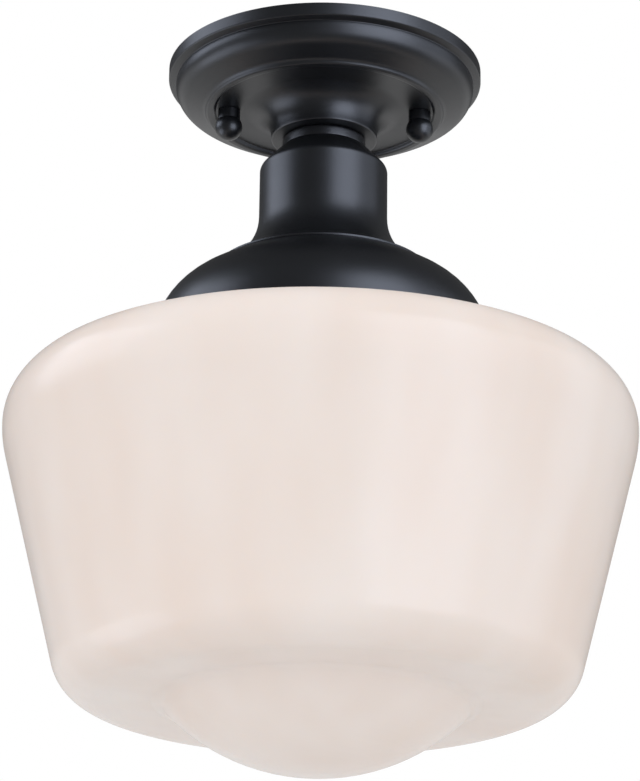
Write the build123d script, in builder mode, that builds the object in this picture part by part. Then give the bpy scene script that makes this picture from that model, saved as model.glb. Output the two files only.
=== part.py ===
from build123d import *
import os
from math import acos, asin, atan2, cos, degrees, radians, sin, tan

# Semi flush ceiling light: pressed canopy, spun bell neck, domed shade holder, opal glass shade.
# Millimetres. The origin is the centre of the ceiling plane, +Z is up, and the two ball nuts
# stand on the X axis. Every height is a Z value below the ceiling.

os.makedirs("parts", exist_ok=True)

# ---------------------------------------------------------------- driving dimensions

# Clearances
thread_gap = 0.04             # radial, between a screw and its tapped hole
turn_gap = 0.05               # radial and axial, between pieces that turn on each other
glass_gap = 0.3               # between the screw tips and the glass
wire_gap = 0.15               # radial, round a lead in its hole
overrun = 1.0                 # how far a cutting shape runs past the metal

# Mounting strap
strap_thickness = 2.0
strap_width = 19.0
strap_corner = 3.0
strap_margin = 5.0            # metal left beyond a slot or a stud hole
box_spacing_small = 69.85     # smaller ceiling box, hole to hole
box_spacing_large = 88.9      # larger ceiling box, hole to hole
box_slot_width = 4.8
strap_eye_radius = 7.0        # way through for the house wires

# Studs and ball nuts
stud_radius = 2.08
stud_spacing = 77.6
stud_recess = 0.3             # stud's slotted end below the strap's top face
stud_slot_width = 0.8
stud_slot_depth = 1.2
stud_nut_width = 8.7          # across flats
stud_nut_height = 3.2
stud_hole_radius = 2.6        # in the canopy
ball_radius = 5.5
ball_neck_radius = 4.5
ball_drop = 7.4               # ball's centre below the canopy's pan
ball_end_wall = 2.6           # metal between the stud's bore and the ball's tip

# Canopy, sizes of the shown face
canopy_radius = 63.7
canopy_sheet = 0.9
rim_height = 4.5
rim_fillet = 1.0
crease = 0.4                  # inside radius of the sharper folds
fold = 1.0
groove_radius = 59.8
groove_height = 5.0
groove_width = 0.9
band_radius = 60.7
band_foot_radius = 48.9
band_foot_height = 16.9
band_slope = 20.0             # degrees from level
band_fillet = 7.5
bead_height = 18.8
bead_outer_radius = 47.9
bead_inner_radius = 44.9
bead_fillet = 1.4
bead_root = 3.0               # hollow between band and bead
pan_radius = 44.2
pan_depth = 17.0
hub_radius = 21.5
hub_depth = 30.0
hub_cove = 11.4
hub_fillet = 1.1

# Threaded tube through the middle
nipple_radius = 5.0
nipple_bore = 3.4
nipple_top = -18.0
nut_width = 14.3              # across flats
nut_height = 3.2
washer_radius = 8.6
washer_height = 0.8
lug_height = 0.6
lug_reach = 11.6
lug_barrel_radius = 1.5
lug_barrel_height = 4.0

# Collar under the hub
collar_radius = 16.9
collar_height = 4.5
collar_round = 1.2            # upper edge
collar_edge = 0.5             # lower edge

# Bell neck, sizes of the shown face
bell_sheet = 1.0
bell_height = 54.9
bell_top_radius = 17.3
bell_cone_height = 9.1
bell_radius = 25.8
bell_shoulder_fillet = 3.2
bell_top_fillet = 0.8
bell_cove = 25.6
bell_foot_radius = 43.2
bell_hem = 1.4                # width of the thickened edge

# Shade holder, sizes of the shown face
holder_sheet = 1.0
holder_height = 38.6
lip_clearance = 4.6           # between the glass lip and the holder's inner face
dome_slope = 29.7             # degrees from level
dome_fillet = 30.5
holder_washer_radius = 14.0

# Thumbscrews
screw_radius = 2.05
screw_rise = 5.0              # axis above the holder's rim
screw_tip_radius = 1.2
screw_tip_length = 1.2
head_radius = 5.0
head_length = 5.6
head_knurls = 20
head_groove = 0.45
head_gap = 3.1                # between the holder and a screw's head
boss_radius = 4.5
boss_gap = 1.2                # between a boss and the glass lip

# Shade, sizes of the shown face
glass_wall = 3.2
neck_radius = 58.4
lip_flare = 3.0
lip_height = 10.0
lip_rim = 2.0
lip_round = 1.2
neck_length = 8.9             # from the screws' axis down to the shoulder's root
neck_fillet = 3.5
shoulder_slope = 8.0          # degrees from level
shoulder_fillet = 3.5
bevel_slope = 38.0            # degrees from level
shade_radius = 124.2
bevel_fillet = 21.0
belt_fillet = 42.0
wall_taper = 14.4             # degrees from upright
shade_base_height = 132.8     # neck root to the flat ring round the bulge
foot_fillet = 18.5
bulge_radius = 82.0
bulge_depth = 26.6
bulge_fillet = 8.0
tangent_gap = 0.1             # straight left between two neighbouring arcs

# Socket and bulb
cap_radius = 17.8
cap_height = 12.0
cap_wall = 1.4
cap_boss_radius = 8.0
cap_boss_height = 4.5
cap_round = 4.0
cap_gap = 0.5                 # under the holder's nut
socket_radius = 19.5
socket_height = 37.0
socket_floor = 8.0
socket_edge = 1.5
cavity_radius = 14.0
shell_wall = 0.4
shell_height = 24.0
bulb_cap_radius = 13.2
bulb_cap_height = 23.0
bulb_cap_wall = 0.5
contact_radius = 4.0
contact_height = 1.2
tongue_height = 1.6
tongue_length = 6.4
tongue_width = 4.0
bulb_tip_radius = 3.6
bulb_tip_height = 1.2
bulb_insulator_height = 4.0
globe_radius = 30.0
globe_wall = 0.8
globe_drop = 52.0             # globe's centre below the bulb's cap
globe_neck_radius = 12.6
globe_neck_hold = 6.0         # glass inside the bulb's cap

# Wires
lead_radius = 1.05
lead_offset = 1.7             # from the nipple's axis
lead_height = -7.0            # level run above the canopy's pan
lead_bend = 10.5
lead_reach = 24.0             # axis to the mouth of the wire nut
wire_nut_length = 20.0
wire_nut_mouth = 5.8
wire_nut_tip = 3.6
wire_nut_bore = 3.0
wire_nut_grip = 7.0
ground_screw_place = -24.0
ground_screw_radius = 2.0
ground_head_radius = 4.2
ground_head_height = 2.2
ground_wire_radius = 0.8
ground_wire_tail = 6.0        # straight wire each side of the screw
ground_wire_turn = -9.0       # height at which it turns down into its lug
ground_wire_bends = [10.0, 8.0]


# ---------------------------------------------------------------- shared shapes

def spun_sheet(points, radii, wall, side=Side.RIGHT):
    """Add a sheet turned round the Z axis, whose shown face runs through points."""
    with BuildSketch(Plane.XZ) as section:
        with BuildLine():
            FilletPolyline(*points, radius=radii)
            offset(amount=wall, side=side)
        make_face()
    revolve(section.sketch, axis=Axis.Z)


def ring(outer, inner, bottom, top):
    """Add a plain ring round the Z axis."""
    with BuildSketch(Plane.XY.offset(bottom)) as face:
        Circle(outer)
        Circle(inner, mode=Mode.SUBTRACT)
    extrude(face.sketch, amount=top - bottom)


def hex_nut(width, bore, bottom, top):
    """Add a six-sided nut on the Z axis."""
    with BuildSketch(Plane.XY.offset(bottom)) as face:
        RegularPolygon(width / 2, 6, major_radius=False)
        Circle(bore, mode=Mode.SUBTRACT)
    extrude(face.sketch, amount=top - bottom)


def round_wire(points, radii, radius):
    """Add a round wire along straight runs joined by tangent arcs."""
    with BuildLine() as route:
        FilletPolyline(*points, radius=radii)
    with BuildSketch(Plane(origin=route.line @ 0, z_dir=route.line % 0)) as end:
        Circle(radius)
    sweep(end.sketch, path=route.line)


# ---------------------------------------------------------------- mounting strap

slot_length = (box_spacing_large - box_spacing_small) / 2 + box_slot_width
slot_spacing = (box_spacing_large + box_spacing_small) / 2
long_arm = box_spacing_large + box_slot_width + 2 * strap_margin
short_arm = stud_spacing + 2 * (stud_radius + strap_margin)
strap_bottom = -strap_thickness

with BuildPart() as crossbar:
    with BuildSketch(Plane.XY.offset(strap_bottom)):
        RectangleRounded(strap_width, long_arm, strap_corner)
        RectangleRounded(short_arm, strap_width, strap_corner)
        with GridLocations(0, slot_spacing, 1, 2):
            SlotOverall(slot_length, box_slot_width, rotation=90, mode=Mode.SUBTRACT)
        with GridLocations(stud_spacing, 0, 2, 1):
            Circle(stud_radius + thread_gap, mode=Mode.SUBTRACT)
        with Locations((0, ground_screw_place)):
            Circle(ground_screw_radius + thread_gap, mode=Mode.SUBTRACT)
        Circle(strap_eye_radius, mode=Mode.SUBTRACT)
    extrude(amount=strap_thickness)

# ---------------------------------------------------------------- studs and ball nuts

pan_z = -pan_depth
ball_z = pan_z - ball_drop
stud_bottom = ball_z - ball_radius + ball_end_wall + turn_gap

with BuildPart() as canopy_studs:
    with BuildSketch(Plane.XY.offset(stud_bottom)):
        with GridLocations(stud_spacing, 0, 2, 1):
            Circle(stud_radius)
    extrude(amount=-stud_recess - stud_bottom)
    with BuildSketch(Plane.XY.offset(-stud_recess)):
        with GridLocations(stud_spacing, 0, 2, 1):
            Rectangle(stud_slot_width, 2 * stud_radius + overrun)
    extrude(amount=-stud_slot_depth, mode=Mode.SUBTRACT)

with BuildPart() as stud_nuts:
    with BuildSketch(Plane.XY.offset(strap_bottom - stud_nut_height)):
        with GridLocations(stud_spacing, 0, 2, 1):
            RegularPolygon(stud_nut_width / 2, 6, major_radius=False)
            Circle(stud_radius + thread_gap, mode=Mode.SUBTRACT)
    extrude(amount=stud_nut_height)


def ball_nut(place):
    """Add a ball nut whose neck bears on the canopy's pan."""
    with Locations((place, 0, ball_z)):
        Sphere(ball_radius)
    with BuildSketch(Plane.XY.offset(ball_z)) as neck:
        with Locations((place, 0)):
            Circle(ball_neck_radius)
    extrude(neck.sketch, amount=pan_z - turn_gap - ball_z)
    with BuildSketch(Plane.XY.offset(stud_bottom - turn_gap)) as bore:
        with Locations((place, 0)):
            Circle(stud_radius + turn_gap)
    extrude(bore.sketch, amount=pan_z - stud_bottom + turn_gap, mode=Mode.SUBTRACT)


with BuildPart() as ball_nut_right:
    ball_nut(stud_spacing / 2)

with BuildPart() as ball_nut_left:
    ball_nut(-stud_spacing / 2)

# ---------------------------------------------------------------- canopy

hub_z = -hub_depth
web_top = hub_z + canopy_sheet
tube_hole = nipple_radius + turn_gap
band_corner = -band_foot_height + (band_radius - band_foot_radius) * tan(radians(band_slope))

canopy_points = [
    (tube_hole, hub_z),
    (hub_radius, hub_z),
    (hub_radius, pan_z),
    (pan_radius, pan_z),
    (bead_inner_radius, -bead_height),
    (bead_outer_radius, -bead_height),
    (band_foot_radius, -band_foot_height),
    (band_radius, band_corner),
    (band_radius, -groove_height - groove_width),
    (groove_radius, -groove_height),
    (canopy_radius, -rim_height),
    (canopy_radius, 0),
]
canopy_radii = [hub_fillet, hub_cove, crease, bead_fillet, bead_fillet, bead_root, band_fillet,
                fold, crease, rim_fillet]

with BuildPart() as canopy:
    spun_sheet(canopy_points, canopy_radii, canopy_sheet, Side.LEFT)
    with BuildSketch(Plane.XY.offset(pan_z)):
        with GridLocations(stud_spacing, 0, 2, 1):
            Circle(stud_hole_radius)
    extrude(amount=canopy_sheet, both=True, mode=Mode.SUBTRACT)

# ---------------------------------------------------------------- collar and bell neck

collar_bottom = hub_z - collar_height

with BuildPart() as neck_collar:
    ring(collar_radius, tube_hole, collar_bottom, hub_z)
    rims = neck_collar.edges().filter_by(GeomType.CIRCLE).sort_by(SortBy.RADIUS)[-2:].sort_by(Axis.Z)
    fillet(rims[0], collar_edge)
    fillet(rims[1], collar_round)

bell_bottom = collar_bottom - bell_height
foot_top = bell_bottom + bell_sheet
cove_turn = acos(1 - (bell_foot_radius - bell_radius) / bell_cove)
cove_z = foot_top + bell_cove * sin(cove_turn)

bell_points = [
    (tube_hole, collar_bottom),
    (bell_top_radius, collar_bottom),
    (bell_radius, collar_bottom - bell_cone_height),
    (bell_radius, cove_z),
]

with BuildPart() as neck_bell:
    with BuildSketch(Plane.XZ):
        with BuildLine():
            FilletPolyline(*bell_points, radius=[bell_top_fillet, bell_shoulder_fillet])
            CenterArc((bell_radius + bell_cove, cove_z), bell_cove, 180, degrees(cove_turn))
            offset(amount=bell_sheet, side=Side.RIGHT)
        make_face()
    revolve(axis=Axis.Z)
    ring(bell_foot_radius, bell_foot_radius - bell_hem, bell_bottom, foot_top)

# ---------------------------------------------------------------- shade holder

plate_bottom = bell_bottom - holder_sheet
holder_rim = bell_bottom - holder_height
holder_inner = neck_radius + lip_flare + lip_clearance
holder_radius = holder_inner + holder_sheet
boss_reach = lip_clearance - boss_gap
dome_corner = bell_bottom - (holder_radius - bell_foot_radius) * tan(radians(dome_slope))
screw_z = holder_rim + screw_rise

holder_points = [
    (tube_hole, bell_bottom),
    (bell_foot_radius, bell_bottom),
    (holder_radius, dome_corner),
    (holder_radius, holder_rim),
]
screw_angles = {"thumbscrew_right": -30, "thumbscrew_left": -150, "thumbscrew_back": 90}


def screw_plane(angle, reach):
    """Plane across a thumbscrew's axis, reach from the Z axis and facing outwards."""
    turn = radians(angle)
    outwards = Vector(cos(turn), sin(turn), 0)
    return Plane(origin=outwards * reach + Vector(0, 0, screw_z), x_dir=(0, 0, 1), z_dir=outwards)


with BuildPart() as shade_holder:
    spun_sheet(holder_points, [crease, dome_fillet], holder_sheet)
    for angle in screw_angles.values():
        with BuildSketch(screw_plane(angle, holder_inner - boss_reach)):
            Circle(boss_radius)
        extrude(amount=boss_reach + holder_sheet / 2)
    for angle in screw_angles.values():
        with BuildSketch(screw_plane(angle, holder_inner - 2 * boss_reach)):
            Circle(screw_radius + turn_gap)
        extrude(amount=4 * boss_reach, mode=Mode.SUBTRACT)

# ---------------------------------------------------------------- threaded tube and its nuts

nut_bore = nipple_radius + thread_gap
lug_bottom = web_top + washer_height
canopy_nut_bottom = lug_bottom + lug_height
holder_washer_bottom = plate_bottom - washer_height
holder_nut_bottom = holder_washer_bottom - nut_height
cap_top = holder_nut_bottom - cap_gap
nipple_bottom = cap_top - cap_boss_height

with BuildPart() as nipple:
    ring(nipple_radius, nipple_bore, nipple_bottom, nipple_top)

with BuildPart() as canopy_lock_washer:
    ring(washer_radius, nut_bore, web_top, lug_bottom)
    with BuildSketch(Plane.XY.offset(web_top)):
        with Locations((-washer_radius, 0)):
            Rectangle(washer_radius, washer_height)
    extrude(amount=washer_height, mode=Mode.SUBTRACT)

with BuildPart() as canopy_locknut:
    hex_nut(nut_width, nut_bore, canopy_nut_bottom, canopy_nut_bottom + nut_height)

with BuildPart() as holder_washer:
    ring(holder_washer_radius, nut_bore, holder_washer_bottom, plate_bottom)

with BuildPart() as holder_locknut:
    hex_nut(nut_width, nut_bore, holder_nut_bottom, holder_washer_bottom)

# ---------------------------------------------------------------- socket

cap_bottom = cap_top - cap_height
socket_bottom = cap_bottom - socket_height
floor_z = cap_bottom - socket_floor

with BuildPart() as socket_cap:
    spun_sheet([(nut_bore, cap_top), (cap_radius, cap_top), (cap_radius, cap_bottom)],
               [cap_round], cap_wall)
    ring(cap_boss_radius, nut_bore, cap_top - cap_boss_height, cap_top - cap_wall / 2)

with BuildPart() as socket_body:
    ring(socket_radius, cavity_radius, socket_bottom, floor_z)
    with BuildSketch(Plane.XY.offset(floor_z)):
        Circle(socket_radius)
    extrude(amount=socket_floor)
    rims = socket_body.edges().filter_by(GeomType.CIRCLE).filter_by(
        lambda edge: abs(edge.radius - socket_radius) < 0.01)
    fillet(rims.group_by(Axis.Z)[0] + rims.group_by(Axis.Z)[-1], socket_edge)
    with BuildSketch(Plane.XY.offset(cap_bottom)):
        with GridLocations(0, 2 * lead_offset, 1, 2):
            Circle(lead_radius + wire_gap)
    extrude(amount=-socket_floor / 2, mode=Mode.SUBTRACT)

shell_outer = bulb_cap_radius + turn_gap + shell_wall
shell_top = floor_z

with BuildPart() as socket_shell:
    ring(shell_outer, bulb_cap_radius + turn_gap, shell_top - shell_height, shell_top)
    ring(shell_outer, bulb_cap_radius - 2 * shell_wall, shell_top - shell_wall, shell_top)

with BuildPart() as socket_contact:
    with BuildSketch(Plane.XY.offset(floor_z - contact_height)):
        Circle(contact_radius)
    extrude(amount=contact_height)
    with BuildSketch(Plane.XY.offset(floor_z - contact_height - tongue_height)):
        SlotOverall(tongue_length, tongue_width)
    extrude(amount=tongue_height)

# ---------------------------------------------------------------- bulb

bulb_top = floor_z - contact_height - tongue_height - turn_gap
insulator_top = bulb_top - bulb_tip_height
bulb_cap_top = insulator_top - bulb_insulator_height
bulb_cap_bottom = bulb_cap_top - bulb_cap_height
globe_z = bulb_cap_bottom - globe_drop

with BuildPart() as bulb_contact:
    with BuildSketch(Plane.XY.offset(insulator_top)):
        Circle(bulb_tip_radius)
    extrude(amount=bulb_tip_height)

with BuildPart() as bulb_insulator:
    with BuildSketch(Plane.XY.offset(bulb_cap_top)):
        Circle(bulb_cap_radius - bulb_cap_wall)
    with BuildSketch(Plane.XY.offset(insulator_top)):
        Circle(bulb_tip_radius + bulb_cap_wall)
    loft()

with BuildPart() as bulb_base:
    ring(bulb_cap_radius, bulb_cap_radius - bulb_cap_wall, bulb_cap_bottom, bulb_cap_top)
    ring(bulb_cap_radius, bulb_tip_radius, bulb_cap_top - bulb_cap_wall, bulb_cap_top)

globe_rise = bulb_cap_bottom - globe_z
globe_reach = (globe_neck_radius ** 2 + globe_rise ** 2) ** 0.5
bowl_angle = degrees(asin(globe_radius / globe_reach) - atan2(globe_neck_radius, globe_rise))

with BuildPart() as bulb_globe:
    with BuildSketch(Plane.XZ):
        with BuildLine():
            neck = Line((globe_neck_radius, bulb_cap_bottom + globe_neck_hold),
                        (globe_neck_radius, bulb_cap_bottom))
            bowl = CenterArc((0, globe_z), globe_radius, bowl_angle, -bowl_angle - 90)
            Line(neck @ 1, bowl @ 0)
            offset(amount=globe_wall, side=Side.RIGHT)
        make_face()
    revolve(axis=Axis.Z)

# ---------------------------------------------------------------- thumbscrews

flare_ratio = lip_flare / lip_height
flare_z = screw_z - screw_tip_radius - glass_gap
tip_reach = neck_radius + flare_ratio * (screw_z + screw_tip_radius - flare_z) + glass_gap
screw_length = holder_radius + head_gap - tip_reach


def thumbscrew(angle):
    """Add a thumbscrew: knurled head, shank and a coned tip that bears under the glass lip."""
    with BuildSketch(screw_plane(angle, tip_reach)) as tip:
        Circle(screw_tip_radius)
    with BuildSketch(screw_plane(angle, tip_reach + screw_tip_length)) as shank:
        Circle(screw_radius)
    with BuildSketch(screw_plane(angle, tip_reach + screw_length)) as head:
        Circle(head_radius)
        with PolarLocations(head_radius, head_knurls):
            Circle(head_groove, mode=Mode.SUBTRACT)
    loft([tip.sketch, shank.sketch])
    extrude(shank.sketch, amount=screw_length - screw_tip_length)
    extrude(head.sketch, amount=head_length)


with BuildPart() as thumbscrew_right:
    thumbscrew(screw_angles["thumbscrew_right"])

with BuildPart() as thumbscrew_left:
    thumbscrew(screw_angles["thumbscrew_left"])

with BuildPart() as thumbscrew_back:
    thumbscrew(screw_angles["thumbscrew_back"])

# ---------------------------------------------------------------- glass shade

lip_top = flare_z + lip_height
neck_root = screw_z - neck_length
base_z = neck_root - shade_base_height
shoulder_tangent = shoulder_fillet * tan(radians(bevel_slope - shoulder_slope) / 2)
bevel_tangent = bevel_fillet * tan(radians(90 - bevel_slope) / 2)
belt_tangent = belt_fillet * tan(radians(wall_taper) / 2)
bevel_length = shoulder_tangent + bevel_tangent + tangent_gap
shoulder_radius = shade_radius - bevel_length * cos(radians(bevel_slope))
shoulder_z = neck_root - (shoulder_radius - neck_radius) * tan(radians(shoulder_slope))
bevel_z = shoulder_z - bevel_length * sin(radians(bevel_slope))
belt_z = bevel_z - bevel_tangent - belt_tangent - tangent_gap
foot_radius = shade_radius - (belt_z - base_z) * tan(radians(wall_taper))
bulge_edge = (bulge_radius ** 2 - (bulge_radius - bulge_depth) ** 2) ** 0.5
bulge_start = -degrees(acos(bulge_edge / bulge_radius))

with BuildPart() as shade:
    with BuildSketch(Plane.XZ):
        with BuildLine() as outer_face:
            FilletPolyline(
                (neck_radius + lip_flare, lip_top + lip_rim),
                (neck_radius + lip_flare, lip_top),
                (neck_radius, flare_z),
                (neck_radius, neck_root),
                (shoulder_radius, shoulder_z),
                (shade_radius, bevel_z),
                (shade_radius, belt_z),
                (foot_radius, base_z),
                (bulge_edge, base_z),
                radius=[crease, crease, neck_fillet, shoulder_fillet, bevel_fillet, belt_fillet,
                        foot_fillet],
            )
            CenterArc((0, base_z - bulge_depth + bulge_radius), bulge_radius,
                      bulge_start, -90 - bulge_start)
            corner = outer_face.vertices().sort_by_distance((bulge_edge, base_z, 0))[0]
            fillet(corner, bulge_fillet)
            offset(amount=glass_wall, side=Side.RIGHT, kind=Kind.INTERSECTION)
        make_face()
    revolve(axis=Axis.Z)
    fillet(shade.edges().group_by(Axis.Z)[-1], lip_round)

# ---------------------------------------------------------------- wires

floor_seat = cap_bottom - socket_floor / 2 + wire_gap
diagonal = radians(45)
lead_end = lead_reach + wire_nut_length - wire_nut_grip / 2


def lead(side):
    """Add a lead from the socket, up the nipple and into its wire nut. side is 1 or -1."""
    start = Vector(0, side * lead_offset, floor_seat)
    turn = Vector(0, side * lead_offset, lead_height)
    end = turn + Vector(cos(diagonal), sin(diagonal), 0) * side * lead_end
    round_wire([start, turn, end], [lead_bend], lead_radius)


with BuildPart() as lead_black:
    lead(1)

with BuildPart() as lead_white:
    lead(-1)

with BuildPart() as wire_nuts:
    for side in (1, -1):
        way = Vector(side * cos(diagonal), side * sin(diagonal), 0)
        mouth = Vector(0, side * lead_offset, lead_height) + way * lead_reach
        with BuildSketch(Plane(origin=mouth, z_dir=way)):
            Circle(wire_nut_mouth)
        with BuildSketch(Plane(origin=mouth + way * wire_nut_length, z_dir=way)):
            Circle(wire_nut_tip)
        loft()
        with BuildSketch(Plane(origin=mouth, z_dir=way)):
            Circle(wire_nut_bore)
        extrude(amount=wire_nut_length - 2 * wire_nut_grip, mode=Mode.SUBTRACT)
        with BuildSketch(Plane(origin=mouth, z_dir=way)):
            Circle(lead_radius + wire_gap)
        extrude(amount=wire_nut_length - wire_nut_grip / 2 + wire_gap, mode=Mode.SUBTRACT)

ground_head_top = strap_bottom - 2 * ground_wire_radius - 2 * turn_gap

with BuildPart() as ground_screw:
    with BuildSketch(Plane.XY.offset(ground_head_top)):
        with Locations((0, ground_screw_place)):
            Circle(ground_screw_radius)
    extrude(amount=-stud_recess - ground_head_top)
    with BuildSketch(Plane.XY.offset(ground_head_top - ground_head_height)):
        with Locations((0, ground_screw_place)):
            Circle(ground_head_radius)
    extrude(amount=ground_head_height)

lug_top = lug_bottom + lug_height

with BuildPart() as ground_lug:
    with BuildSketch(Plane.XY.offset(lug_bottom)):
        Circle(washer_radius)
        with Locations((0, -lug_reach / 2)):
            Rectangle(2 * lug_barrel_radius, lug_reach)
        with Locations((0, -lug_reach)):
            Circle(lug_barrel_radius)
        Circle(nut_bore, mode=Mode.SUBTRACT)
    extrude(amount=lug_height)
    with BuildSketch(Plane.XY.offset(lug_top)):
        with Locations((0, -lug_reach)):
            Circle(lug_barrel_radius)
            Circle(ground_wire_radius + thread_gap, mode=Mode.SUBTRACT)
    extrude(amount=lug_barrel_height)

ground_side = ground_screw_radius + ground_wire_radius + turn_gap
ground_wire_z = strap_bottom - ground_wire_radius - turn_gap

with BuildPart() as ground_wire:
    round_wire(
        [(ground_side, ground_screw_place - ground_wire_tail, ground_wire_z),
         (ground_side, ground_screw_place + ground_wire_tail, ground_wire_z),
         (0, -lug_reach, ground_wire_turn),
         (0, -lug_reach, lug_top + turn_gap)],
        ground_wire_bends,
        ground_wire_radius,
    )

# ---------------------------------------------------------------- labels and files

pieces = {
    "crossbar": crossbar,
    "canopy_studs": canopy_studs,
    "stud_nuts": stud_nuts,
    "ball_nut_right": ball_nut_right,
    "ball_nut_left": ball_nut_left,
    "canopy": canopy,
    "neck_collar": neck_collar,
    "neck_bell": neck_bell,
    "shade_holder": shade_holder,
    "nipple": nipple,
    "canopy_lock_washer": canopy_lock_washer,
    "canopy_locknut": canopy_locknut,
    "holder_washer": holder_washer,
    "holder_locknut": holder_locknut,
    "socket_cap": socket_cap,
    "socket_body": socket_body,
    "socket_shell": socket_shell,
    "socket_contact": socket_contact,
    "bulb_contact": bulb_contact,
    "bulb_insulator": bulb_insulator,
    "bulb_base": bulb_base,
    "bulb_globe": bulb_globe,
    "thumbscrew_right": thumbscrew_right,
    "thumbscrew_left": thumbscrew_left,
    "thumbscrew_back": thumbscrew_back,
    "shade": shade,
    "lead_black": lead_black,
    "lead_white": lead_white,
    "wire_nuts": wire_nuts,
    "ground_screw": ground_screw,
    "ground_lug": ground_lug,
    "ground_wire": ground_wire,
}

for name, piece in pieces.items():
    piece.part.label = name
    export_step(piece.part, f"parts/{name}.step")
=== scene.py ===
"""Semi flush ceiling light with a black neck and an opal glass shade, dressed round its CAD frame.

Lengths are metres in the frame of the CAD model: the origin is the centre of the ceiling plane and
+Z is up. A spun, pressed or blown piece is a section turned round an axis, worked out with numpy.
"""

import math

import bmesh
import bpy
import numpy as np
from mathutils import Euler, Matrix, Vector


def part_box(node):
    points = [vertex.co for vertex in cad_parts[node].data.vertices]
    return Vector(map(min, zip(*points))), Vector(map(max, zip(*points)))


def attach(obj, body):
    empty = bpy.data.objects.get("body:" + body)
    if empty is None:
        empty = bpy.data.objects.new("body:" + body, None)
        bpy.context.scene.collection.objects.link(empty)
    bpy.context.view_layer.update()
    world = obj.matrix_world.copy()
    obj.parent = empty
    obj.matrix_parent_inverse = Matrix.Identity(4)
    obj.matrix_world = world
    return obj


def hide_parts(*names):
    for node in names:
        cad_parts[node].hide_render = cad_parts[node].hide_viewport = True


bl_info = {
    "name": "Semi flush ceiling light",
    "version": (1, 0, 0),
    "blender": (4, 5, 0),
    "location": "View3D > Sidebar > Ceiling light",
    "description": "Dresses a ceiling light with an opal glass shade round its CAD frame",
    "category": "Add Mesh",
}

MM = 0.001
SCREW_GAP = 0.05 * MM  # round a thumbscrew in its hole, and under a stud in its ball nut
NUT_GAP = 0.04 * MM    # round a rod in its nut
SHARP = math.radians(32.0)         # edges that bend more than this stay hard
SHARP_THREAD = math.radians(50.0)  # the same, where threads and knurls have to look smooth

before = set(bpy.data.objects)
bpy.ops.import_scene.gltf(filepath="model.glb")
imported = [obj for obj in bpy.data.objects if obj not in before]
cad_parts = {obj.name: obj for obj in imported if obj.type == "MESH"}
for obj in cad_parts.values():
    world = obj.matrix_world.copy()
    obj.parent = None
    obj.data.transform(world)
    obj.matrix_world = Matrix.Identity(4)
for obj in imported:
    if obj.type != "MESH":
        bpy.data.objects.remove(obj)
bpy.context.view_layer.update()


def top(node):
    """Height of a CAD node's highest point."""
    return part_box(node)[1].z


def bottom(node):
    """Height of a CAD node's lowest point."""
    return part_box(node)[0].z


def reach(node):
    """Furthest a CAD node reaches along +X."""
    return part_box(node)[1].x


def middle(node):
    """Centre of a CAD node's box."""
    low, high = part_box(node)
    return (low + high) / 2


def around(degree):
    """Level direction at an angle from +X: (cos, sin, 0)."""
    return Vector((math.cos(math.radians(degree)), math.sin(math.radians(degree)), 0.0))


# Directions in which the thumbscrews back out of the holder
SCREW_WAYS = {"thumbscrew_right": around(-30.0), "thumbscrew_left": around(-150.0),
              "thumbscrew_back": around(90.0)}


# ---------------------------------------------------------------- sizes and colours


def length(title, default, text):
    """A length in metres that the panel can change."""
    return bpy.props.FloatProperty(name=title, description=text, default=default, min=0.0,
                                   unit="LENGTH", precision=5)


def degrees(title, default, text):
    """An angle that the panel can change, written here in degrees."""
    return bpy.props.FloatProperty(name=title, description=text, default=math.radians(default),
                                   subtype="ANGLE")


class CanopySizes(bpy.types.PropertyGroup):
    """Pressed steel ceiling cover and the two ball nuts under it."""

    radius: length("Radius", reach("canopy"), "Radius at the ceiling")
    sheet: length("Sheet", 0.9 * MM, "Thickness of the steel")
    rim_height: length("Rim height", 5.0 * MM, "Upright rim next to the ceiling")
    rim_fillet: length("Rim fillet", 0.9 * MM, "Rounding under the rim")
    groove_radius: length("Groove radius", 60.5 * MM, "Radius at the bottom of the groove")
    groove_height: length("Groove height", 6.0 * MM, "Groove below the ceiling")
    groove_width: length("Groove width", 0.45 * MM, "Height of the groove's lower face")
    band_radius: length("Band radius", 60.7 * MM, "Widest radius under the groove")
    band_foot_radius: length("Band foot radius", 48.9 * MM, "Radius where the band meets the bead")
    band_foot_height: length("Band foot height", 16.9 * MM, "Band's foot below the ceiling")
    band_slope: degrees("Band slope", 20.0, "Slope of the band's lower part from level")
    band_fillet: length("Band fillet", 7.5 * MM, "Radius of the band's round")
    bead_height: length("Bead height", 18.8 * MM, "Bead's lowest line below the ceiling")
    bead_outer_radius: length("Bead outer radius", 47.9 * MM, "Outer edge of the bead's flat")
    bead_inner_radius: length("Bead inner radius", 44.9 * MM, "Inner edge of the bead's flat")
    bead_fillet: length("Bead fillet", 1.4 * MM, "Rounding of the bead")
    bead_root: length("Bead root", 3.0 * MM, "Radius of the hollow between band and bead")
    pan_radius: length("Pan radius", 44.2 * MM, "Radius of the recessed pan")
    pan_depth: length("Pan depth", 17.0 * MM, "Pan below the ceiling")
    hub_radius: length("Hub radius", 21.5 * MM, "Radius of the hub in the middle")
    hub_cove: length("Hub cove", 11.4 * MM, "Radius of the hollow between pan and hub")
    hub_fillet: length("Hub fillet", 0.7 * MM, "Rounding round the hub's flat bottom")
    tube_hole: length("Tube hole", 5.05 * MM, "Radius of the hole for the threaded tube")
    stud_hole: length("Stud hole", 2.6 * MM, "Radius of the holes for the two studs")
    crease: length("Crease", 0.4 * MM, "Rounding of the sharper folds")
    fold: length("Fold", 1.0 * MM, "Rounding of the softer folds")
    ball_radius: length("Ball radius", 5.5 * MM, "Radius of a ball nut")
    ball_neck: length("Ball neck", 4.5 * MM, "Radius of a ball nut's neck")
    ball_bore: length("Ball bore", 2.13 * MM, "Radius of a ball nut's bore")
    ball_edge: length("Ball edge", 0.2 * MM, "Rounding at the top of a ball nut's neck")


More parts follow.
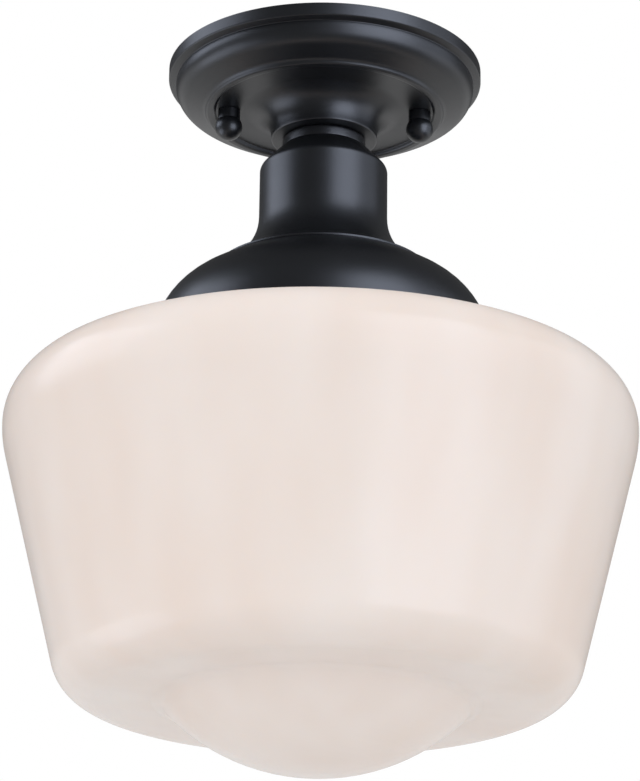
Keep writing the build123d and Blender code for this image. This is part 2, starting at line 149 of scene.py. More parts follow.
class NeckSizes(bpy.types.PropertyGroup):
    """Collar, bell and the domed holder of the shade."""

    collar_radius: length("Collar radius", reach("neck_collar"), "Radius of the collar")
    collar_round: length("Collar round", 1.2 * MM, "Rounding of the collar's upper edge")
    collar_edge: length("Collar edge", 0.5 * MM, "Rounding of the collar's lower edge")
    bell_sheet: length("Bell sheet", 1.0 * MM, "Thickness of the bell")
    bell_top_radius: length("Bell top radius", 17.3 * MM, "Radius at the top of the bell's cone")
    bell_top_fillet: length("Bell top fillet", 0.8 * MM, "Rounding at the top of the bell")
    bell_cone: length("Bell cone", 9.1 * MM, "Height of the bell's cone")
    bell_radius: length("Bell radius", 25.8 * MM, "Radius of the bell's straight cup")
    bell_shoulder: length("Bell shoulder", 3.2 * MM, "Rounding between cone and cup")
    bell_cove: length("Bell cove", 25.6 * MM, "Radius of the bell's flare")
    bell_hem: length("Bell hem", 1.4 * MM, "Width of the thickened edge at the bell's foot")
    hem_round: length("Hem round", 0.48 * MM, "Rounding of the bell's foot")
    holder_sheet: length("Holder sheet", 1.0 * MM, "Thickness of the shade holder")
    dome_slope: degrees("Dome slope", 29.7, "Slope of the dome from level")
    dome_crease: length("Dome crease", 0.4 * MM, "Rounding between the dome and its flat top")
    dome_fillet: length("Dome fillet", 30.5 * MM, "Radius of the dome's round")
    boss_radius: length("Boss radius", 4.5 * MM, "Radius of a tapped boss inside the holder")
    boss_reach: length("Boss reach", 3.4 * MM, "How far a boss stands into the holder")
    boss_edge: length("Boss edge", 0.3 * MM, "Rounding of a boss")


class ScrewSizes(bpy.types.PropertyGroup):
    """Thumbscrews, studs, the threaded tube and their nuts."""

    shank: length("Thumbscrew shank", 2.05 * MM, "Radius of a thumbscrew over its thread")
    tip: length("Thumbscrew tip", 1.2 * MM, "Radius and height of a thumbscrew's cone")
    head: length("Thumbscrew head", 5.0 * MM, "Radius of a thumbscrew's head")
    head_height: length("Head height", 5.6 * MM, "Height of a thumbscrew's head")
    head_edge: length("Head edge", 0.6 * MM, "Rounding of the head's edges")
    knurls: bpy.props.IntProperty(name="Knurls", default=20, min=3,
                                  description="Grooves round a thumbscrew's head")
    knurl_depth: length("Knurl depth", 0.4 * MM, "Depth of the grooves")
    stud: length("Stud", 2.08 * MM, "Radius of a canopy stud over its thread")
    stud_nut: length("Stud nut", 8.7 * MM, "Width of a stud nut across its flats")
    fine_pitch: length("Screw pitch", 0.794 * MM, "Thread pitch of studs and thumbscrews")
    tube: length("Tube", 5.0 * MM, "Radius of the threaded tube")
    tube_bore: length("Tube bore", 3.4 * MM, "Radius of the hole through the threaded tube")
    tube_pitch: length("Tube pitch", 0.94 * MM, "Thread pitch of the threaded tube")
    nut_chamfer: degrees("Nut chamfer", 30.0, "Slope of the chamfer on a nut's corners")


class ShadeSizes(bpy.types.PropertyGroup):
    """Blown opal glass shade."""

    wall: length("Wall", 3.2 * MM, "Thickness of the glass")
    lip_radius: length("Lip radius", 61.4 * MM, "Radius of the lip's upright rim")
    lip_rim: length("Lip rim", 2.0 * MM, "Height of the lip's upright rim")
    lip_round: length("Lip round", 1.2 * MM, "Fire-polished rounding of the lip's edge")
    lip_height: length("Lip height", 10.0 * MM, "Height of the flared lip")
    lip_crease: length("Lip crease", 0.4 * MM, "Rounding where the lip starts to flare")
    neck_radius: length("Neck radius", 58.4 * MM, "Radius of the neck under the lip")
    neck_root: length("Neck root", 131.9 * MM, "Bottom of the neck below the ceiling")
    neck_fillet: length("Neck fillet", 3.5 * MM, "Rounding between neck and shoulder")
    shoulder_slope: degrees("Shoulder slope", 8.0, "Slope of the shoulder from level")
    shoulder_fillet: length("Shoulder fillet", 3.5 * MM, "Rounding between shoulder and bevel")
    bevel_slope: degrees("Bevel slope", 38.0, "Slope of the bevel from level")
    radius: length("Radius", reach("shade"), "Widest radius of the glass")
    bevel_fillet: length("Bevel fillet", 21.0 * MM, "Rounding between bevel and side")
    belt_fillet: length("Belt fillet", 42.0 * MM, "Rounding at the widest line")
    taper: degrees("Taper", 14.4, "Slope of the side from upright")
    foot_fillet: length("Foot fillet", 18.5 * MM, "Rounding between side and flat ring")
    bulge_radius: length("Bulge radius", 82.0 * MM, "Radius of the round bulge below")
    bulge_depth: length("Bulge depth", 26.6 * MM, "Bulge below the flat ring")
    bulge_fillet: length("Bulge fillet", 8.0 * MM, "Rounding between ring and bulge")
    waviness: length("Waviness", 0.12 * MM, "Mean depth of the blown face under a true round")


class Finishes(bpy.types.PropertyGroup):
    """Colours that a user would change."""

    metal: bpy.props.StringProperty(name="Metal", default="#121418",
                                    description="sRGB colour of the powder coat")
    glass: bpy.props.StringProperty(name="Glass", default="#f7eae4",
                                    description="sRGB colour of the opal glass")


# ---------------------------------------------------------------- sections and surfaces


def outline(corners, radii, shift=0.0, step=math.radians(6.0)):
    """Section through corners: straight runs, with a tangent arc at each inner corner.

    The whole line is moved shift to the left of its travel: each corner goes to where its two
    moved runs cross, and each arc keeps its centre, so lines with different shifts are parallel.
    """
    points = np.array(corners, float)
    way = np.diff(points, axis=0)
    way /= np.linalg.norm(way, axis=1)[:, None]
    left = np.stack([-way[:, 1], way[:, 0]], 1)
    along = (way[:-1] * way[1:]).sum(1)
    bend = np.arctan2((left[:-1] * way[1:]).sum(1), along)
    points[0] += shift * left[0]
    points[-1] += shift * left[-1]
    points[1:-1] += shift * (left[:-1] + left[1:]) / (1.0 + along)[:, None]
    line = [points[:1]]
    rounds = zip(points[1:-1], way[:-1], left[:-1], bend, radii)
    for corner, ahead, side, turn, radius in rounds:
        radius = max(radius - shift * np.sign(turn), 0.0)
        start = corner - ahead * radius * math.tan(abs(turn) / 2)
        angle = np.linspace(0.0, abs(turn), max(2, math.ceil(abs(turn) / step) + 1))[:, None]
        bow = side * np.sign(turn) * (1.0 - np.cos(angle))
        line.append(start + radius * (ahead * np.sin(angle) + bow))
    line.append(points[-1:])
    return np.concatenate(line)


def sheet(corners, radii, wall):
    """Closed section of a bent sheet: its face through corners, its back wall to the left."""
    return np.concatenate([outline(corners, radii), outline(corners, radii, wall)[::-1]])


def filled(line, step):
    """The same line with points added along it, so that no run is longer than step."""
    along = np.concatenate([[0.0], np.cumsum(np.linalg.norm(np.diff(line, axis=0), axis=1))])
    keep = np.concatenate([[True], np.diff(along) > 0.002 * MM])
    along, line = along[keep], line[keep]
    places = np.union1d(along, np.arange(0.0, along[-1], step))
    places = places[np.concatenate([[True], np.diff(places) > 0.01 * MM])]
    return np.stack([np.interp(places, along, line[:, axis]) for axis in (0, 1)], 1)


def full_turn(segments):
    """Angles of one turn in equal steps."""
    return np.linspace(0.0, 2 * math.pi, segments, endpoint=False)


def rings(radii, levels, angle):
    """Grid of rings round Z, one to a row: (radius cos angle, radius sin angle, level)."""
    x, y = radii * np.cos(angle), radii * np.sin(angle)
    return np.stack([x, y, np.broadcast_to(levels, x.shape)], -1)


def turned(section, segments):
    """Grid of a section turned round Z: each of its points becomes a ring."""
    return rings(section[:, :1], section[:, 1:], full_turn(segments))


def smooth(mesh, sharp=SHARP):
    """Shades a mesh smooth, apart from its edges that bend more than sharp."""
    mesh.shade_smooth()
    mesh.set_sharp_from_angle(angle=sharp)


def surface(name, *grids, closed=True, sharp=SHARP):
    """One mesh from grids of points whose columns run round: quads between neighbours.

    closed joins the last row to the first. Points that fall together, as at a pole, become one.
    """
    corners, faces, base = [], [], 0
    for grid in grids:
        rows, columns = grid.shape[:2]
        index = base + np.arange(rows * columns).reshape(rows, columns)
        if closed:
            index = np.concatenate([index, index[:1]])
        beside = np.roll(index, -1, axis=1)
        quads = np.stack([index[:-1], beside[:-1], beside[1:], index[1:]], -1)
        corners.append(grid.reshape(-1, 3))
        faces.append(quads.reshape(-1, 4))
        base += rows * columns
    mesh = bpy.data.meshes.new(name)
    mesh.from_pydata(np.concatenate(corners), [], np.concatenate(faces))
    work = bmesh.new()
    work.from_mesh(mesh)
    bmesh.ops.remove_doubles(work, verts=work.verts, dist=0.001 * MM)
    bmesh.ops.dissolve_degenerate(work, edges=work.edges, dist=0.0005 * MM)
    bmesh.ops.recalc_face_normals(work, faces=work.faces)
    work.to_mesh(mesh)
    work.free()
    smooth(mesh, sharp)
    piece = bpy.data.objects.new(name, mesh)
    bpy.context.scene.collection.objects.link(piece)
    return piece


def drill(piece, *cutters):
    """Takes the closed grids of cutters out of the piece, as holes."""
    tool = surface(piece.name + "_tool", *cutters)
    cut = piece.modifiers.new("holes", "BOOLEAN")
    cut.object = tool
    cut.operation = "DIFFERENCE"
    cut.solver = "EXACT"
    view = bpy.context.evaluated_depsgraph_get()
    mesh = bpy.data.meshes.new_from_object(piece.evaluated_get(view))
    piece.modifiers.clear()
    piece.data = mesh
    bpy.data.objects.remove(tool)
    smooth(mesh)


def rod(radius, low, high):
    """Closed grid of a plain round rod along Z."""
    section = np.array([(0.0, low), (radius, low), (radius, high), (0.0, high)])
    return turned(section, segments=48)


def laid(grid, axis, origin):
    """The grid turned from Z to lie along a level axis, and moved to origin.

    A point becomes origin + x lift - y side + z along, where lift points up.
    """
    along = np.array(axis, float) / np.linalg.norm(axis)
    side = np.cross(along, (0.0, 0.0, 1.0))
    side /= np.linalg.norm(side)
    lift = np.cross(side, along)
    return np.asarray(origin) + grid @ np.stack([lift, -side, along])


def threaded(radius, pitch, low, high, segments=36):
    """Rows of a screw thread along Z: the radius dips as a triangle wave of height and angle.

    The wave is 0.55 pitch deep and cut off flat at its bottom. Over the first and last pitch it
    fades out, and the rod tapers by 0.3 pitch. A turn has six rows.
    """
    levels = np.linspace(low, high, int((high - low) / pitch * 6) + 1)[:, None]
    angle = full_turn(segments)
    phase = (levels / pitch - angle / (2 * math.pi)) % 1.0
    depth = 0.55 * pitch * np.minimum(2 * np.abs(phase - 0.5) * 1.15, 1.0)
    ends = np.minimum((levels - low) / pitch, (high - levels) / pitch)
    taper = 0.3 * pitch * np.clip(1.0 - ends, 0.0, 1.0)
    return rings(radius - depth * np.clip(ends, 0.0, 1.0) - taper, levels, angle)


def hex_nut(flats, bore, low, high, chamfer):
    """Grid of a six-sided nut: the radius is the lesser of the hexagon's and its chamfer cone's.

    The hexagon's is half the flats' width / cos(angle from the nearest flat's middle). The cone's
    is 0.97 of half the width at both ends, plus the distance from the nearer one / tan(chamfer).
    """
    angle = full_turn(96)
    half = flats / 2
    sides = half / np.cos((angle + math.pi / 6) % (math.pi / 3) - math.pi / 6)
    height = high - low
    into = np.array([0.0, 0.06, 0.12, 0.2, 0.5, 0.8, 0.88, 0.94, 1.0])[:, None]
    edge = height * np.minimum(into, 1.0 - into)
    cone = 0.97 * half + edge / math.tan(chamfer)
    radii = np.concatenate([np.minimum(sides, cone), np.full((2, len(angle)), bore)])
    return rings(radii, np.concatenate([low + height * into, [[high], [low]]]), angle)


def moved(grid, x):
    """The grid moved along X."""
    return grid + np.array((x, 0.0, 0.0))


# Material, and the slot that it stands for
BLACK = ("powder_coated_steel", "black_powder_coat")
ZINC = ("zinc_plated_steel", "zinc_plated_steel")
OPAL = ("blown_opal_glass", "opal_glass")


def finish(piece, body, look, *nodes):
    """Gives a finished piece its material and its body, and hides the CAD nodes that it stands
    for.
    """
    name, slot = look
    piece.data.materials.clear()
    piece.data.materials.append(material(name))
    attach(piece, body)
    if nodes:
        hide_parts(*nodes)


# ---------------------------------------------------------------- materials


def linear(text):
    """Linear colour of sRGB hex: v / 12.92 up to 0.04045, above it ((v + 0.055) / 1.055) ^ 2.4."""
    parts = np.array([int(text[at:at + 2], 16) / 255 for at in (1, 3, 5)])
    parts = np.where(parts <= 0.04045, parts / 12.92, ((parts + 0.055) / 1.055) ** 2.4)
    return (*parts.tolist(), 1.0)


def add(tree, kind, inputs=None, to=None, **settings):
    """Adds a node with its settings, and links its first output to the socket given as to.

    An input is a value, or another node's output to link.
    """
    made = tree.nodes.new(kind)
    for name, value in settings.items():
        setattr(made, name, value)
    for name, value in (inputs or {}).items():
        if isinstance(value, bpy.types.NodeSocket):
            tree.links.new(value, made.inputs[name])
        else:
            made.inputs[name].default_value = value
    if to:
        tree.links.new(made.outputs[0], to)
    return made


def blank(name):
    """The tree of a new material, its Object coordinates, and the socket its shader links to."""
    made = bpy.data.materials.new(name)
    made.use_nodes = True
    tree = made.node_tree
    tree.nodes.clear()
    place = add(tree, "ShaderNodeTexCoord").outputs["Object"]
    return tree, place, add(tree, "ShaderNodeOutputMaterial").inputs["Surface"]


def powder_coated_steel():
    """Steel under a satin black powder coat: baked resin, dark blue-black, softly pebbled.

    The pebbling is 0.35 mm across, and the gloss drifts a little over centimetres.
    """
    tree, place, output = blank("powder_coated_steel")
    grain = add(tree, "ShaderNodeTexNoise",
                {"Vector": place, "Scale": 1 / (0.35 * MM), "Detail": 2.0})
    drift = add(tree, "ShaderNodeTexNoise",
                {"Vector": place, "Scale": 1 / (30 * MM), "Detail": 3.0})
    gloss = add(tree, "ShaderNodeMapRange", {"Value": drift.outputs["Fac"], "From Min": 0.3,
                                             "From Max": 0.7, "To Min": 0.34, "To Max": 0.4})
    bump = add(tree, "ShaderNodeBump", {"Height": grain.outputs["Fac"], "Strength": 0.5,
                                        "Distance": 0.06 * MM})
    add(tree, "ShaderNodeBsdfPrincipled", {
        "Base Color": linear(bpy.context.scene.light_finishes.metal),
        "Roughness": gloss.outputs["Result"], "IOR": 1.5, "Specular IOR Level": 0.6,
        "Specular Tint": linear("#f8faff"), "Normal": bump.outputs["Normal"]}, to=output)


def blown_opal_glass():
    """Opal glass, blown into a mould: milky and warm, with a gloss skin and faint cords in it.

    The cords are soft upright streaks 45 mm wide, and the skin waves over 28 mm, so that
    reflections in it run a little crooked.
    """
    tree, place, output = blank("blown_opal_glass")
    streak = add(tree, "ShaderNodeMapping", {"Vector": place, "Scale": (1.0, 1.0, 0.25)})
    cords = add(tree, "ShaderNodeTexNoise",
                {"Vector": streak.outputs["Vector"], "Scale": 1 / (45 * MM), "Detail": 2.0})
    tone = add(tree, "ShaderNodeValToRGB", {"Fac": cords.outputs["Fac"]})
    tone.color_ramp.elements[0].position = 0.3
    tone.color_ramp.elements[1].position = 0.7
    tone.color_ramp.elements[0].color = linear("#f1e0d7")
    tone.color_ramp.elements[1].color = linear(bpy.context.scene.light_finishes.glass)
    skin = add(tree, "ShaderNodeTexNoise",
               {"Vector": place, "Scale": 1 / (28 * MM), "Detail": 1.0})
    bump = add(tree, "ShaderNodeBump", {"Height": skin.outputs["Fac"], "Strength": 0.5,
                                        "Distance": 1.0 * MM})
    add(tree, "ShaderNodeBsdfPrincipled", {
        "Base Color": tone.outputs["Color"], "Roughness": 0.24, "IOR": 1.5,
        "Specular IOR Level": 0.19, "Subsurface Weight": 0.3, "Subsurface Scale": 6 * MM,
        "Subsurface Radius": (1.0, 0.8, 0.65), "Normal": bump.outputs["Normal"]}, to=output)


def zinc_plated_steel():
    """Steel with bright zinc plate: pale grey, with drawn lines 0.3 mm apart and 6 mm clouds."""
    tree, place, output = blank("zinc_plated_steel")
    cloud = add(tree, "ShaderNodeTexNoise",
                {"Vector": place, "Scale": 1 / (6 * MM), "Detail": 4.0})
    tone = add(tree, "ShaderNodeValToRGB", {"Fac": cloud.outputs["Fac"]})
    tone.color_ramp.elements[0].color = linear("#aeb2b6")
    tone.color_ramp.elements[1].color = linear("#d3d6d8")
    gloss = add(tree, "ShaderNodeMapRange", {"Value": cloud.outputs["Fac"], "From Min": 0.3,
                                             "From Max": 0.7, "To Min": 0.28, "To Max": 0.42})
    drawn = add(tree, "ShaderNodeMapping", {"Vector": place, "Scale": (1.0, 0.05, 1.0)})
    lines = add(tree, "ShaderNodeTexNoise",
                {"Vector": drawn.outputs["Vector"], "Scale": 1 / (0.3 * MM)})
    bump = add(tree, "ShaderNodeBump", {"Height": lines.outputs["Fac"], "Strength": 0.2,
                                        "Distance": 0.02 * MM})
    add(tree, "ShaderNodeBsdfPrincipled", {
        "Base Color": tone.outputs["Color"], "Metallic": 1.0,
        "Roughness": gloss.outputs["Result"], "Normal": bump.outputs["Normal"]}, to=output)


def metal(name, dark, light, grain, rough):
    """A bare or plated metal whose tone drifts between two colours over grain, in metres."""
    tree, place, output = blank(name)
    cloud = add(tree, "ShaderNodeTexNoise", {"Vector": place, "Scale": 1 / grain, "Detail": 3.0})
    tone = add(tree, "ShaderNodeValToRGB", {"Fac": cloud.outputs["Fac"]})
    tone.color_ramp.elements[0].color = linear(dark)
    tone.color_ramp.elements[1].color = linear(light)
    gloss = add(tree, "ShaderNodeMapRange", {"Value": cloud.outputs["Fac"],
                                             "To Min": rough - 0.06, "To Max": rough + 0.06})
    add(tree, "ShaderNodeBsdfPrincipled", {
        "Base Color": tone.outputs["Color"], "Metallic": 1.0,
        "Roughness": gloss.outputs["Result"]}, to=output)


def moulded(name, dark, light, grain, rough, depth):
    """A moulded or glazed material: its tone drifts, and depth is how far its skin is pebbled."""
    tree, place, output = blank(name)
    cloud = add(tree, "ShaderNodeTexNoise", {"Vector": place, "Scale": 1 / grain, "Detail": 2.0})
    tone = add(tree, "ShaderNodeValToRGB", {"Fac": cloud.outputs["Fac"]})
    tone.color_ramp.elements[0].color = linear(dark)
    tone.color_ramp.elements[1].color = linear(light)
    bump = add(tree, "ShaderNodeBump", {"Height": cloud.outputs["Fac"], "Strength": 0.3,
                                        "Distance": depth})
    add(tree, "ShaderNodeBsdfPrincipled", {
        "Base Color": tone.outputs["Color"], "Roughness": rough,
        "Normal": bump.outputs["Normal"]}, to=output)


def frosted_glass():
    """Bulb glass, etched inside: white and cloudy, with a smooth outside that shines."""
    tree, place, output = blank("frosted_glass")
    cloud = add(tree, "ShaderNodeTexNoise",
                {"Vector": place, "Scale": 1 / (8 * MM), "Detail": 2.0})
    tone = add(tree, "ShaderNodeValToRGB", {"Fac": cloud.outputs["Fac"]})
    tone.color_ramp.elements[0].color = linear("#eceae4")
    tone.color_ramp.elements[1].color = linear("#f5f4f0")
    add(tree, "ShaderNodeBsdfPrincipled", {
        "Base Color": tone.outputs["Color"], "Roughness": 0.12, "IOR": 1.5,
        "Subsurface Weight": 0.4, "Subsurface Scale": 4 * MM}, to=output)


# Pressed or turned, then plated or left bare: two tones, the clouds' size and the roughness
PLAIN_METALS = {
    "nickelled_brass": ("#a29c8c", "#c4bfb2", 5 * MM, 0.3),
    "bare_brass": ("#a88443", "#cda65c", 4 * MM, 0.35),
    "tin_solder": ("#8f8f8f", "#b3b3b3", 2 * MM, 0.45),
    "green_zinc_plate": ("#24512f", "#33703f", 2 * MM, 0.35),
    "bare_copper": ("#9c5836", "#c67a50", 2 * MM, 0.3),
}
# Glazed, pressed, extruded or moulded: two tones, the grain's size, roughness and pebble depth
MOULDED = {
    "glazed_porcelain": ("#e6e3da", "#f1efe8", 9 * MM, 0.15, 0.05 * MM),
    "black_vitrite": ("#0b0b0d", "#17171a", 3 * MM, 0.12, 0.02 * MM),
    "black_pvc": ("#111112", "#1c1c1e", 0.8 * MM, 0.42, 0.02 * MM),
    "white_pvc": ("#dfdeda", "#ecebe7", 0.8 * MM, 0.42, 0.02 * MM),
    "orange_nylon": ("#c9641c", "#e07c2c", 0.6 * MM, 0.45, 0.03 * MM),
}


def make_materials():
    """Every material by name, made once."""
    if "powder_coated_steel" in bpy.data.materials:
        return
    powder_coated_steel()
    blown_opal_glass()
    zinc_plated_steel()
    frosted_glass()
    for name, look in PLAIN_METALS.items():
        metal(name, *look)
    for name, look in MOULDED.items():
        moulded(name, *look)


def material(name):
    """A finished material by name."""
    make_materials()
    return bpy.data.materials[name]


def coat(node, name):
    """Gives a CAD node its material."""
    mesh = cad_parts[node].data
    mesh.materials.clear()
    mesh.materials.append(material(name))


# ---------------------------------------------------------------- pieces


class LIGHT_OT_canopy(bpy.types.Operator):
    """Canopy, pressed from sheet, with its rim, groove, round band, bead, pan and hub"""

    bl_idname = "ceiling_light.canopy"
    bl_label = "Canopy"

    def execute(self, context):
        size = context.scene.light_canopy
        hub_z = bottom("canopy")
        band_corner = (size.band_radius - size.band_foot_radius) * math.tan(size.band_slope)
        corners = [
            (size.tube_hole, hub_z),
            (size.hub_radius, hub_z),
            (size.hub_radius, -size.pan_depth),
            (size.pan_radius, -size.pan_depth),
            (size.bead_inner_radius, -size.bead_height),
            (size.bead_outer_radius, -size.bead_height),
            (size.band_foot_radius, -size.band_foot_height),
            (size.band_radius, -size.band_foot_height + band_corner),
            (size.band_radius, -size.groove_height - size.groove_width),
            (size.groove_radius, -size.groove_height),
            (size.radius, -size.rim_height),
            (size.radius, 0.0),
        ]
        radii = [size.hub_fillet, size.hub_cove, size.crease, size.bead_fillet, size.bead_fillet,
                 size.bead_root, size.band_fillet, size.fold, size.crease, size.rim_fillet]
        section = sheet(corners, radii, size.sheet)
        canopy = surface("canopy_cover", turned(section, segments=192))
        pan = -size.pan_depth
        hole = rod(size.stud_hole, pan - size.sheet, pan + 2 * size.sheet)
        place = middle("ball_nut_right").x
        drill(canopy, moved(hole, place), moved(hole, -place))
        finish(canopy, "fixture", BLACK, "canopy")
        return {"FINISHED"}


class LIGHT_OT_ball_nuts(bpy.types.Operator):
    """Two ball nuts, turned from bar, with a short neck that bears on the canopy"""

    bl_idname = "ceiling_light.ball_nuts"
    bl_label = "Ball nuts"

    def execute(self, context):
        size = context.scene.light_canopy
        for side in ("right", "left"):
            node = f"ball_nut_{side}"
            centre = bottom(node) + size.ball_radius
            floor = bottom("canopy_studs") - SCREW_GAP
            neck_angle = math.acos(size.ball_neck / size.ball_radius)
            angle = np.linspace(neck_angle, -math.pi / 2, 30)[:, None]  # down to the lowest point
            ball = size.ball_radius * np.concatenate([np.cos(angle), np.sin(angle)], 1)
            ball += (0, centre)
            ball[-1, 0] = 0.0
            bore = np.array([(0.0, floor), (size.ball_bore, floor)])
            rim = outline([(size.ball_bore, top(node)), (size.ball_neck, top(node)), ball[0]],
                          [size.ball_edge])
            grid = turned(np.concatenate([bore, rim, ball[1:]]), segments=64)
            piece = surface(f"{node}_turned", moved(grid, middle(node).x), closed=False)
            finish(piece, node, BLACK, node)
        return {"FINISHED"}


class LIGHT_OT_neck(bpy.types.Operator):
    """Collar, bell and domed shade holder, turned or spun"""

    bl_idname = "ceiling_light.neck"
    bl_label = "Neck"

    def execute(self, context):
        size = context.scene.light_neck
        inside = context.scene.light_canopy.tube_hole

        low, high = bottom("neck_collar"), top("neck_collar")
        section = outline([(inside, high), (size.collar_radius, high), (size.collar_radius, low),
                           (inside, low)], [size.collar_round, size.collar_edge])
        collar = surface("collar", turned(section, segments=128))
        finish(collar, "fixture", BLACK, "neck_collar")

        foot = reach("neck_bell")
        foot_low = bottom("neck_bell")
        foot_high = foot_low + size.bell_sheet
        # The flare is an arc of bell_cove that turns from upright as far as the foot's radius
        turn = math.acos(1.0 - (foot - size.bell_radius) / size.bell_cove)
        cove = foot_high + size.bell_cove * math.sin(turn)
        bell = [
            (inside, low),
            (size.bell_top_radius, low),
            (size.bell_radius, low - size.bell_cone),
            (size.bell_radius, cove - size.bell_cove * math.tan(turn / 2)),
            (foot, foot_high),
        ]
        radii = [size.bell_top_fillet, size.bell_shoulder, size.bell_cove]
        back = outline(bell, radii, -size.bell_sheet)
        back = back[back[:, 0] < foot - size.bell_hem]
        hem = outline([(foot - 0.1 * MM, foot_high), (foot, foot_high), (foot, foot_low),
                       (foot - size.bell_hem, foot_low), back[-1]],
                      [0.05 * MM, size.hem_round, 0.0])
        section = np.concatenate([outline(bell, radii)[:-1], hem[1:-1], back[::-1]])
        piece = surface("bell", turned(section, segments=160))
        finish(piece, "fixture", BLACK, "neck_bell")

        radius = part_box("shade_holder")[1].y
        corner = foot_low - (radius - foot) * math.tan(size.dome_slope)
        dome = [(inside, foot_low), (foot, foot_low), (radius, corner),
                (radius, bottom("shade_holder"))]
        section = sheet(dome, [size.dome_crease, size.dome_fillet], -size.holder_sheet)
        holder = surface("holder_dome", turned(section, segments=224))
        places = [(name, way, Vector((0, 0, middle(name).z)))
                  for name, way in SCREW_WAYS.items()]
        bore = context.scene.light_screws.shank + SCREW_GAP
        hole, depth = rod(bore, 0.0, 10 * MM), 5 * MM
        drill(holder, *(laid(hole, way, way * (radius - depth) + level)
                        for name, way, level in places))
        finish(holder, "fixture", BLACK, "shade_holder")

        # Each boss runs from inside the holder to the middle of its sheet
        inner = radius - size.holder_sheet - size.boss_reach
        depth = size.boss_reach + size.holder_sheet / 2
        tube = outline([(bore, 0.0), (size.boss_radius, 0.0), (size.boss_radius, depth),
                        (bore, depth)], [size.boss_edge, 0.0])
        for name, way, level in places:
            boss = surface(name.replace("thumbscrew", "holder_boss"),
                           laid(turned(tube, segments=48), way, way * inner + level))
            finish(boss, "fixture", BLACK)
        return {"FINISHED"}


class LIGHT_OT_thumbscrews(bpy.types.Operator):
    """Three thumbscrews with knurled heads, coned tips and cut threads"""

    bl_idname = "ceiling_light.thumbscrews"
    bl_label = "Thumbscrews"

    def execute(self, context):
        size = context.scene.light_screws
        segments = 8 * size.knurls  # eight points to each groove
        angle = full_turn(segments)
        near, far = (corner.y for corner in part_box("thumbscrew_back"))
        shank_end = far - size.head_height
        for name, way in SCREW_WAYS.items():
            thread = threaded(size.shank, size.fine_pitch, near + size.tip, shank_end, segments)
            tip = turned(np.array([(0.0, near), (size.tip, near)]), segments)
            head = outline([(size.shank, shank_end), (size.head, shank_end), (size.head, far),
                            (0.0, far)], [size.head_edge, size.head_edge])
            # The head's radius dips by half the knurls' depth times one plus the cosine of knurls
            # times the angle, and the dip fades out round the edges of its side
            knurl = 0.5 * (1.0 + np.cos(size.knurls * angle))
            rows = filled(head, 0.7 * MM)
            side = (rows[:, :1] - size.head + 1.2 * size.head_edge) / size.head_edge
            radii = rows[:, :1] - size.knurl_depth * knurl * np.clip(side, 0, 1)
            grid = np.concatenate([tip, thread, rings(radii, rows[:, 1:], angle)])
            grid = laid(grid, way, (0, 0, middle(name).z))
            piece = surface(f"{name}_knurled", grid, closed=False, sharp=SHARP_THREAD)
            finish(piece, name, BLACK, name)
        return {"FINISHED"}


